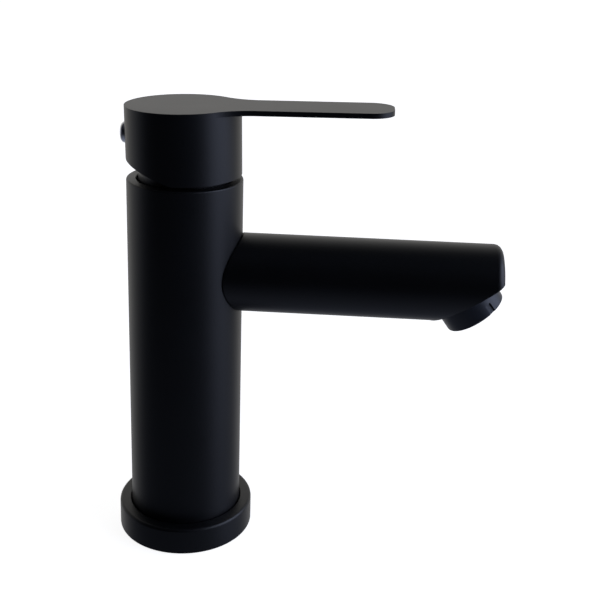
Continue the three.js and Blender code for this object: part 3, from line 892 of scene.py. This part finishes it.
innerFinishes = {
    "hot_inlet_pipe": steel,
    "cold_inlet_pipe": steel,
    "hot_pipe_seal_lower": rubber,
    "cold_pipe_seal_lower": rubber,
    "hot_pipe_seal_upper": rubber,
    "cold_pipe_seal_upper": rubber,
    "cartridge_seat": brass,
    "seat_o_ring": rubber,
    "spout_nipple": brass,
    "spout_gasket": rubber,
    "aerator_screen": steel,
    "aerator_washer": rubber,
    "cartridge_base": bluePlastic,
    "hot_port_seal": rubber,
    "cold_port_seal": rubber,
    "outlet_port_seal": rubber,
    "fixed_disc": ceramic,
    "moving_disc": ceramic,
    "disc_carrier": whitePlastic,
    "cartridge_housing": whitePlastic,
    "stem_rotor": bluePlastic,
    "stem_pin": steel,
    "retaining_nut": brass,
    "bonnet_o_ring": rubber,
    "stem": steel,
    "grub_screw": steel,
}
for name, material in innerFinishes.items():
    mesh = frame["nodes"][name].data
    mesh.materials.clear()
    mesh.materials.append(material)
print("inner parts finished")


# camera, floor and light

cameraSizes = {
    "place": (62.8, -369.7, 245.8),
    "yaw": math.radians(-2.781),
    "pitch": math.radians(-16.769),
    "roll": math.radians(1.821),
    "lens": 59.8,
    "shiftY": -0.1333,
}


def makeCamera():
    s = cameraSizes
    data = bpy.data.cameras.new("camera")
    data.sensor_width = 36
    data.lens = s["lens"]
    data.shift_y = s["shiftY"]
    data.clip_start = 0.01
    data.clip_end = 20
    camera = bpy.data.objects.new("camera", data)
    bpy.context.scene.collection.objects.link(camera)
    forward = Vector((
        math.sin(s["yaw"]) * math.cos(s["pitch"]),
        math.cos(s["yaw"]) * math.cos(s["pitch"]),
        math.sin(s["pitch"]),
    ))
    level = Vector((math.cos(s["yaw"]), -math.sin(s["yaw"]), 0))
    rise = level.cross(forward)
    right = level * math.cos(s["roll"]) + rise * math.sin(s["roll"])
    up = right.cross(forward)
    turn = Matrix((right, up, -forward)).transposed()
    camera.matrix_world = Matrix.Translation(Vector(s["place"]) * mm) @ turn.to_4x4()
    bpy.context.scene.camera = camera


floorSizes = {"radius": 4.0, "glow": 0.9, "drop": 0.0002}


def makeFloor():
    s = floorSizes
    bm = bmesh.new()
    bmesh.ops.create_circle(bm, cap_ends=True, segments=middleSteps, radius=s["radius"] / mm)
    moved(bm, Matrix.Translation((0, 0, (cadLow.z - s["drop"]) / mm)))
    floor = objectFrom(bm, "floor")
    material, place = newMaterial("paleFloor")
    paper = place.noise(300, 3.0) * 0.5
    shade = paper.blend(rgba(0.80, 0.80, 0.80), rgba(0.84, 0.84, 0.84))
    matte = place.node("ShaderNodeBsdfDiffuse", {}, {"Color": shade})
    glow = place.node("ShaderNodeEmission", {}, {"Color": rgba(1, 1, 1), "Strength": s["glow"]})
    top = place.node("ShaderNodeAddShader", {}, {0: matte, 1: glow})
    clear = place.node("ShaderNodeBsdfTransparent", {}, {})
    under = place.node("ShaderNodeNewGeometry", {}, {}, "Backfacing")
    surface = place.node("ShaderNodeMixShader", {}, {0: under, 1: top, 2: clear})
    place.node("ShaderNodeOutputMaterial", {}, {"Surface": surface})
    floor.data.materials.append(material)
    floor.visible_glossy = False
    floor.visible_diffuse = False
    floor.visible_shadow = False


studio = {
    "front": Vector((0.167, -0.986, 0.0)),
    "side": Vector((0.996, -0.087, 0.0)),
    "backRange": (-0.10, 0.95),  # ranges say where each glow starts and is full
    "backGlow": 0.78,
    "backSpread": 0.36,
    "sideRange": (0.79, 0.99),
    "lowRange": (-0.36, -0.05),
    "sideLow": 0.62,
    "sideHigh": 1.5,
    "highRange": (0.12, 0.5),
    "sideUpper": 0.9,
    "reachRange": (0.0, 0.6),
    "sideReach": 0.16,
    "leftRange": (0.9, 0.985),
    "left": 0.2,
    "frontRange": (0.30, 0.46),
    "frontBelow": 0.075,
    "underRange": (0.5, 1.0),
    "underneath": 0.12,
    "aboveRange": (0.5, 0.9),
    "above": 0.03,
    "base": 0.004,
    "warm": rgba(1.0, 0.985, 0.955),
    "cool": rgba(0.79, 0.88, 1.18),
}


def makeStudio():  # white behind the object, a soft glow to the right, little in front
    s = studio
    world = bpy.data.worlds.new("studio")
    bpy.context.scene.world = world
    world.use_nodes = True
    tree = world.node_tree
    tree.nodes.clear()
    start = Signal(tree, None)
    direction = start.node("ShaderNodeTexCoord", {}, {}, "Generated")

    def along(axis):
        dot = {"operation": "DOT_PRODUCT"}
        values = {0: direction, 1: tuple(axis)}
        return direction.node("ShaderNodeVectorMath", dot, values, "Value")

    height = direction.part("Z")
    tilt = height.maths("ABSOLUTE", height, 0.0)
    away = 0.0 - along(s["front"]) - s["backSpread"] * tilt
    back = away.ramp(*s["backRange"]) * s["backGlow"]
    lift = height.ramp(*s["lowRange"], s["sideLow"], s["sideHigh"])
    lift = lift + height.ramp(*s["highRange"]) * s["sideUpper"]
    facing = along(s["side"])
    reach = height.ramp(*s["reachRange"]) * s["sideReach"]
    side = (facing + reach).ramp(*s["sideRange"]) * lift
    side = side + (0.0 - facing).ramp(*s["leftRange"]) * s["left"]
    down = 0.0 - height
    below = down.ramp(*s["frontRange"]) * s["frontBelow"]
    below = below + down.ramp(*s["underRange"]) * s["underneath"]
    above = height.ramp(*s["aboveRange"]) * s["above"]
    warm = back.blend(rgba(0, 0, 0), s["warm"])
    cool = (side + below + above + s["base"]).blend(rgba(0, 0, 0), s["cool"])
    light = direction.node("ShaderNodeVectorMath", {"operation": "ADD"}, {0: warm, 1: cool})
    seen = direction.node("ShaderNodeLightPath", {}, {}, "Is Camera Ray")
    color = seen.blend(light, rgba(1, 1, 1))
    background = direction.node("ShaderNodeBackground", {}, {"Color": color, "Strength": 1.0})
    direction.node("ShaderNodeOutputWorld", {}, {"Surface": background})


makeCamera()
makeFloor()
makeStudio()
bpy.context.scene.view_settings.view_transform = "Standard"
print("camera, floor and light ready")
